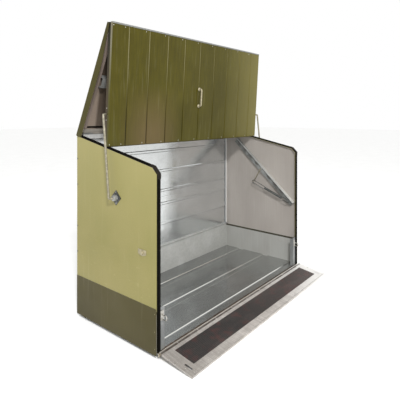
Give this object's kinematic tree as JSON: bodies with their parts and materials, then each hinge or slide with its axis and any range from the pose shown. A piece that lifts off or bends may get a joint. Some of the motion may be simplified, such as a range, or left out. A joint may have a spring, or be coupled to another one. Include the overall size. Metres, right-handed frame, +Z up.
{
  "type": "bicycle locker",
  "caption": "Sheet-steel bicycle locker with roof and grooved front door folding up together on cranked rods, springs, seals, a sill with lock staples and a fold-down ramp",
  "frame": {"origin": "centre of the base underside, on the ground plane, at mid width and mid depth of the body", "axes": "+X to the locker's right seen from the front, +Y to the back wall, +Z up; the door and ramp face -Y; stored open as in the picture"},
  "size_m": [1.948, 1.107, 2.0888],
  "materials": {
    "light_green_paint": "satin light olive-green paint",
    "olive_paint": "semi-gloss dark olive-green paint",
    "skirt_paint": "satin dark grey-green paint",
    "galvanised": "dull zinc-coated sheet",
    "pale_galvanised": "pale zinc-coated sheet",
    "pale_lining": "pale grey-beige back-coat paint",
    "dark_steel": "dark zinc-plated steel",
    "bright_steel": "bright zinc-plated steel",
    "cream_metal": "cream-silver coating",
    "seal_rubber": "matte black foam rubber",
    "cap_rubber": "dark grey moulded rubber",
    "ramp_metal": "pale zinc-coated sheet",
    "grip": "black-brown ribbed anti-slip strip"
  },
  "bodies": {
    "cabinet": {"floor_tray": "galvanised", "floor_bearer_left": "dark_steel", "floor_bearer_middle": "dark_steel", "floor_bearer_right": "dark_steel", "back_panel_upper": "pale_galvanised", "back_panel_lower": "pale_galvanised", "back_skirt": "galvanised", "corner_post_left": "pale_galvanised", "corner_post_right": "pale_galvanised", "top_rail": "pale_lining", "side_panel_left": "light_green_paint", "side_panel_right": "light_green_paint", "side_skirt_left": "skirt_paint", "side_skirt_right": "skirt_paint", "front_post_left": "galvanised", "front_post_right": "galvanised", "top_seal_left": "seal_rubber", "top_seal_right": "seal_rubber", "front_seal_left": "seal_rubber", "front_seal_right": "seal_rubber", "corner_cap_left": "cap_rubber", "corner_cap_right": "cap_rubber", "spring_channel_left": "galvanised", "spring_channel_right": "galvanised", "pivot_plate_left": "dark_steel", "pivot_plate_right": "dark_steel", "pivot_bush_left": "dark_steel", "pivot_bush_right": "dark_steel", "side_bracket_left": "cream_metal", "side_bracket_right": "cream_metal", "lock_staple_left": "bright_steel", "lock_staple_right": "bright_steel", "rear_hinge_fixed_leaf": "pale_lining", "rear_hinge_pin": "bright_steel", "ramp_hinge_fixed_leaf": "bright_steel", "ramp_hinge_pin": "bright_steel"},
    "roof": {"roof_panel": "olive_paint", "roof_side_rail_left": "pale_lining", "roof_side_rail_right": "pale_lining", "roof_stiffener_front": "pale_lining", "roof_stiffener_middle": "dark_steel", "rear_hinge_moving_leaf": "pale_lining", "door_hinge_roof_leaf": "bright_steel", "door_hinge_pin": "bright_steel"},
    "door": {"door_panel": "olive_paint", "door_bottom_rail": "pale_lining", "door_stiffener": "pale_lining", "door_handle": "cream_metal", "door_hinge_door_leaf": "bright_steel"},
    "left_arm": {"arm_rod_left": "cream_metal", "crank_lever_left": "galvanised"},
    "right_arm": {"arm_rod_right": "cream_metal", "crank_lever_right": "galvanised"},
    "left_spring": {"spring_left": "bright_steel"},
    "right_spring": {"spring_right": "bright_steel"},
    "ramp": {"ramp_plate": "ramp_metal", "ramp_grip_strip": "grip", "ramp_hinge_moving_leaf": "bright_steel"}
  },
  "joints": [
    {"name": "lid_hinge", "type": "hinge", "parent": "cabinet", "child": "roof", "pos_m": [0, 0.4045, 1.3181], "axis": [1, 0, 0], "range_deg": [0, 76.55]},
    {"name": "left_arm_pivot", "type": "hinge", "parent": "cabinet", "child": "left_arm", "pos_m": [-0.925, -0.0355, 0.914], "axis": [1, 0, 0], "range_deg": [0, 146]},
    {"name": "right_arm_pivot", "type": "hinge", "parent": "cabinet", "child": "right_arm", "pos_m": [0.925, -0.0355, 0.914], "axis": [1, 0, 0], "range_deg": [0, 146]},
    {"name": "door_pivot", "type": "hinge", "parent": "left_arm", "child": "door", "pos_m": [-0.925, 0.07258, 1.46131], "axis": [1, 0, 0], "range_deg": [-149.6, 0]},
    {"name": "left_spring_pivot", "type": "hinge", "parent": "cabinet", "child": "left_spring", "pos_m": [-0.873, -0.3465, 0.63004], "axis": [1, 0, 0], "range_deg": [0, 32.2], "deforming": ["spring_left"]},
    {"name": "right_spring_pivot", "type": "hinge", "parent": "cabinet", "child": "right_spring", "pos_m": [0.873, -0.3465, 0.63004], "axis": [1, 0, 0], "range_deg": [0, 32.2], "deforming": ["spring_right"]},
    {"name": "ramp_hinge", "type": "hinge", "parent": "cabinet", "child": "ramp", "pos_m": [0, -0.431, 0.043], "axis": [-1, 0, 0], "range_deg": [0, 98.3]}
  ],
  "couplings": [
    {"joint": "left_arm_pivot", "follows": "lid_hinge", "ratio": 1.9054},
    {"joint": "right_arm_pivot", "follows": "lid_hinge", "ratio": 1.9054},
    {"joint": "door_pivot", "follows": "lid_hinge", "ratio": -1.9525},
    {"joint": "left_spring_pivot", "follows": "lid_hinge", "ratio": 0.414},
    {"joint": "right_spring_pivot", "follows": "lid_hinge", "ratio": 0.414}
  ]
}
